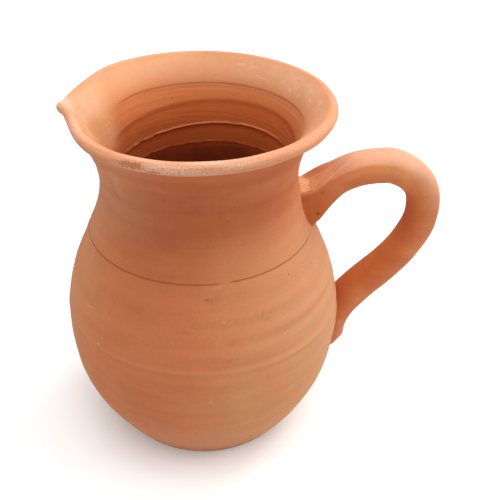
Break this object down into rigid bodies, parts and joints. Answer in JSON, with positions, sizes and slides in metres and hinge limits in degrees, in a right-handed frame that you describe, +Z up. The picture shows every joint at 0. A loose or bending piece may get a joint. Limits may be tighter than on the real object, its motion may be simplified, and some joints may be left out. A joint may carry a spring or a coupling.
{
  "type": "terracotta water jug",
  "caption": "Unglazed thrown jug with a full belly, short neck, wide flared rim with a pinched spout, and one pulled strap handle for carrying and pouring.",
  "frame": {"origin": "centre of the flat foot, on the surface that the jug stands on", "axes": "+Z up along the jug's axis, +X from the axis towards the handle, so the spout is towards -X"},
  "size_m": [0.2319, 0.1718, 0.22],
  "materials": {
    "body_clay": "unglazed fired terracotta, matt, mottled orange to red brown, with faint throwing rings",
    "handle_clay": "unglazed fired terracotta, matt, peach on top and red brown underneath",
    "luting_clay": "paler unglazed clay, matt, smeared and slightly gritty"
  },
  "bodies": {
    "root": {"lower_body": "body_clay", "shoulder_luting_ring": "luting_clay", "upper_body": "body_clay", "handle": "handle_clay", "upper_luting_collar": "luting_clay", "lower_luting_pad": "luting_clay"}
  },
  "joints": []
}
